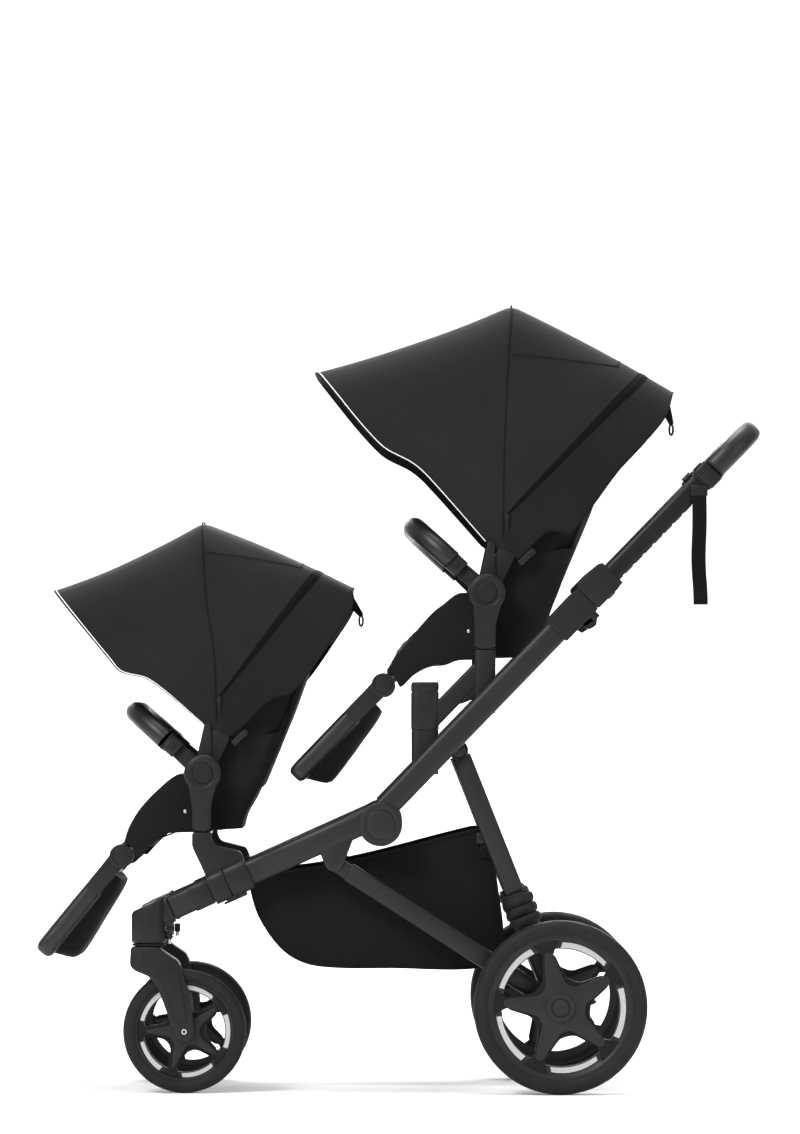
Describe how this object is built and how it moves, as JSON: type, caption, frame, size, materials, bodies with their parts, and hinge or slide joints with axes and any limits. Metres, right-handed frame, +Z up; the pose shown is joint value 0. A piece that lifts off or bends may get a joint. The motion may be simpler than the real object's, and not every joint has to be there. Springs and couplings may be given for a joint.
{
  "type": "tandem pram",
  "caption": "Black pushchair with a main seat, a lower sibling seat, hooded canopies, a basket, swivelling front wheels and larger rear wheels.",
  "frame": {"origin": "on the ground, under the middle of the bounding box", "axes": "+Z up; the pram's front towards -X and its handlebar towards +X; -Y is the pusher's left, the side that the picture shows"},
  "size_m": [1.208, 0.595, 1.3228],
  "materials": {
    "frame": "satin black powder coat",
    "plastic": "fine moulded grain",
    "tyre": "matt foam-filled rubber",
    "rubber": "matt",
    "fabric": "plain woven polyester",
    "leatherette": "stitched leatherette",
    "button": "satin",
    "steel": "bright zinc"
  },
  "bodies": {
    "chassis": {"lower_tube_l": "frame", "lower_tube_r": "frame", "front_cross_tube": "frame", "castor_head_l": "plastic", "castor_head_r": "plastic", "seat_clamp_l": "plastic", "seat_clamp_r": "plastic", "basket": "fabric"},
    "upper_frame": {"upper_tube_l": "frame", "upper_tube_r": "frame", "tube_sleeve_l": "plastic", "tube_sleeve_r": "plastic", "seat_rail_l": "plastic", "seat_rail_r": "plastic"},
    "handlebar": {"handle_tube_l": "frame", "handle_tube_r": "frame", "handle_grip": "leatherette", "wrist_strap": "fabric"},
    "rear_legs": {"rear_leg_l": "frame", "rear_leg_r": "frame", "bellows_l": "rubber", "bellows_r": "rubber"},
    "rear_carriage": {"rear_axle": "frame"},
    "brake": {"brake_pedal": "plastic"},
    "struts": {"strut_l": "frame", "strut_r": "frame"},
    "castor_l": {"castor_fork_l": "plastic"},
    "front_wheel_l": {"front_tyre_l": "tyre", "front_rim_l": "plastic"},
    "swivel_lock_l": {"swivel_lock_l": "steel"},
    "rear_wheel_l": {"rear_tyre_l": "tyre", "rear_rim_l": "plastic"},
    "rear_release_l": {"rear_release_l": "button"},
    "height_clip_l": {"height_clip_l": "plastic"},
    "castor_r": {"castor_fork_r": "plastic"},
    "front_wheel_r": {"front_tyre_r": "tyre", "front_rim_r": "plastic"},
    "swivel_lock_r": {"swivel_lock_r": "steel"},
    "rear_wheel_r": {"rear_tyre_r": "tyre", "rear_rim_r": "plastic"},
    "rear_release_r": {"rear_release_r": "button"},
    "height_clip_r": {"height_clip_r": "plastic"},
    "main_seat": {"main_seat_frame": "frame", "main_seat_base": "fabric"},
    "main_back": {"main_backrest": "fabric", "main_canopy_rear": "fabric"},
    "main_hood": {"main_canopy_front": "fabric"},
    "main_bar": {"main_bumper_bar": "leatherette"},
    "main_footrest": {"main_leg_rest": "fabric"},
    "main_button_l": {"main_hub_button_l": "button"},
    "main_button_r": {"main_hub_button_r": "button"},
    "sibling_seat": {"sibling_seat_frame": "frame", "sibling_seat_base": "fabric"},
    "sibling_back": {"sibling_backrest": "fabric", "sibling_canopy_rear": "fabric"},
    "sibling_hood": {"sibling_canopy_front": "fabric"},
    "sibling_bar": {"sibling_bumper_bar": "leatherette"},
    "sibling_footrest": {"sibling_leg_rest": "fabric"},
    "sibling_button_l": {"sibling_hub_button_l": "button"},
    "sibling_button_r": {"sibling_hub_button_r": "button"}
  },
  "joints": [
    {"name": "fold", "type": "hinge", "parent": "chassis", "child": "upper_frame", "pos_m": [-0.0296, 0, 0.4474], "axis": [0, -1, 0], "range_deg": [0, 10]},
    {"name": "rear_leg_fold", "type": "hinge", "parent": "upper_frame", "child": "rear_legs", "pos_m": [0.1002, 0, 0.5709], "axis": [0, -1, 0], "range_deg": [-3.6, 0]},
    {"name": "strut_fold", "type": "hinge", "parent": "chassis", "child": "struts", "pos_m": [-0.107, 0, 0.3835], "axis": [0, -1, 0], "range_deg": [0, 6.5]},
    {"name": "suspension", "type": "slide", "parent": "rear_legs", "child": "rear_carriage", "axis": [-0.3684, 0, 0.9297], "range_m": [0, 0.01], "stiffness_N_per_m": 12000, "springref_m": -0.01, "deforming": ["bellows_l", "bellows_r"]},
    {"name": "handle_extension", "type": "slide", "parent": "upper_frame", "child": "handlebar", "axis": [0.6959, 0, 0.7181], "range_m": [-0.15, 0]},
    {"name": "brake", "type": "hinge", "parent": "rear_carriage", "child": "brake", "pos_m": [0.29, 0, 0.1445], "axis": [0, 1, 0], "range_deg": [0, 15]},
    {"name": "left_castor_swivel", "type": "hinge", "parent": "chassis", "child": "castor_l", "pos_m": [-0.4156, -0.213, 0.25], "axis": [0, 0, 1], "continuous": true},
    {"name": "left_front_wheel_spin", "type": "hinge", "parent": "castor_l", "child": "front_wheel_l", "pos_m": [-0.3559, -0.213, 0.1027], "axis": [0, 1, 0], "continuous": true},
    {"name": "left_swivel_lock", "type": "slide", "parent": "chassis", "child": "swivel_lock_l", "axis": [0, 0, -1], "range_m": [0, 0.003]},
    {"name": "left_rear_wheel_spin", "type": "hinge", "parent": "rear_carriage", "child": "rear_wheel_l", "pos_m": [0.2692, -0.275, 0.1445], "axis": [0, 1, 0], "continuous": true},
    {"name": "left_wheel_release", "type": "slide", "parent": "rear_wheel_l", "child": "rear_release_l", "axis": [0, 1, 0], "range_m": [0, 0.003], "stiffness_N_per_m": 800},
    {"name": "left_height_clip", "type": "hinge", "parent": "upper_frame", "child": "height_clip_l", "pos_m": [0.32759, -0.235, 0.79305], "axis": [0, -1, 0], "range_deg": [0, 12]},
    {"name": "right_castor_swivel", "type": "hinge", "parent": "chassis", "child": "castor_r", "pos_m": [-0.4156, 0.213, 0.25], "axis": [0, 0, 1], "continuous": true},
    {"name": "right_front_wheel_spin", "type": "hinge", "parent": "castor_r", "child": "front_wheel_r", "pos_m": [-0.3559, 0.213, 0.1027], "axis": [0, 1, 0], "continuous": true},
    {"name": "right_swivel_lock", "type": "slide", "parent": "chassis", "child": "swivel_lock_r", "axis": [0, 0, -1], "range_m": [0, 0.003]},
    {"name": "right_rear_wheel_spin", "type": "hinge", "parent": "rear_carriage", "child": "rear_wheel_r", "pos_m": [0.2692, 0.275, 0.1445], "axis": [0, 1, 0], "continuous": true},
    {"name": "right_wheel_release", "type": "slide", "parent": "rear_wheel_r", "child": "rear_release_r", "axis": [0, -1, 0], "range_m": [0, 0.003], "stiffness_N_per_m": 800},
    {"name": "right_height_clip", "type": "hinge", "parent": "upper_frame", "child": "height_clip_r", "pos_m": [0.32759, 0.235, 0.79305], "axis": [0, -1, 0], "range_deg": [0, 12]},
    {"name": "main_seat_lift_off", "type": "slide", "parent": "upper_frame", "child": "main_seat", "axis": [0, 0, -1], "range_m": [-0.08, 0]},
    {"name": "main_recline", "type": "hinge", "parent": "main_seat", "child": "main_back", "pos_m": [0.1479, 0, 0.8336], "axis": [0, 1, 0], "range_deg": [0, 30]},
    {"name": "main_hood_fold", "type": "hinge", "parent": "main_back", "child": "main_hood", "pos_m": [0.1479, 0, 0.8336], "axis": [0, 1, 0], "range_deg": [0, 36], "deforming": ["main_canopy_rear"]},
    {"name": "main_bar_swing", "type": "hinge", "parent": "main_seat", "child": "main_bar", "pos_m": [0.1479, 0, 0.8336], "axis": [0, 1, 0], "range_deg": [-40, 0]},
    {"name": "main_leg_rest_tilt", "type": "hinge", "parent": "main_seat", "child": "main_footrest", "pos_m": [-0.0251, 0, 0.6796], "axis": [0, -1, 0], "range_deg": [-5, 30]},
    {"name": "main_left_hub_button", "type": "slide", "parent": "main_seat", "child": "main_button_l", "axis": [0, 1, 0], "range_m": [0, 0.003], "stiffness_N_per_m": 800},
    {"name": "main_right_hub_button", "type": "slide", "parent": "main_seat", "child": "main_button_r", "axis": [0, -1, 0], "range_m": [0, 0.003], "stiffness_N_per_m": 800},
    {"name": "sibling_seat_lift_off", "type": "slide", "parent": "chassis", "child": "sibling_seat", "axis": [0, 0, -1], "range_m": [-0.08, 0]},
    {"name": "sibling_recline", "type": "hinge", "parent": "sibling_seat", "child": "sibling_back", "pos_m": [-0.3262, 0, 0.5321], "axis": [0, -1, 0], "range_deg": [-5, 0]},
    {"name": "sibling_hood_fold", "type": "hinge", "parent": "sibling_back", "child": "sibling_hood", "pos_m": [-0.3262, 0, 0.5321], "axis": [0, 1, 0], "range_deg": [0, 38], "deforming": ["sibling_canopy_rear"]},
    {"name": "sibling_bar_swing", "type": "hinge", "parent": "sibling_seat", "child": "sibling_bar", "pos_m": [-0.3262, 0, 0.5321], "axis": [0, 1, 0], "range_deg": [-40, 0]},
    {"name": "sibling_leg_rest_tilt", "type": "hinge", "parent": "sibling_seat", "child": "sibling_footrest", "pos_m": [-0.4632, 0, 0.3934], "axis": [0, 1, 0], "range_deg": [-25, 40]},
    {"name": "sibling_left_hub_button", "type": "slide", "parent": "sibling_seat", "child": "sibling_button_l", "axis": [0, 1, 0], "range_m": [0, 0.003], "stiffness_N_per_m": 800},
    {"name": "sibling_right_hub_button", "type": "slide", "parent": "sibling_seat", "child": "sibling_button_r", "axis": [0, -1, 0], "range_m": [0, 0.003], "stiffness_N_per_m": 800}
  ],
  "couplings": [
    {"joint": "rear_leg_fold", "follows": "fold", "ratio": -0.35},
    {"joint": "strut_fold", "follows": "fold", "ratio": 0.629}
  ]
}
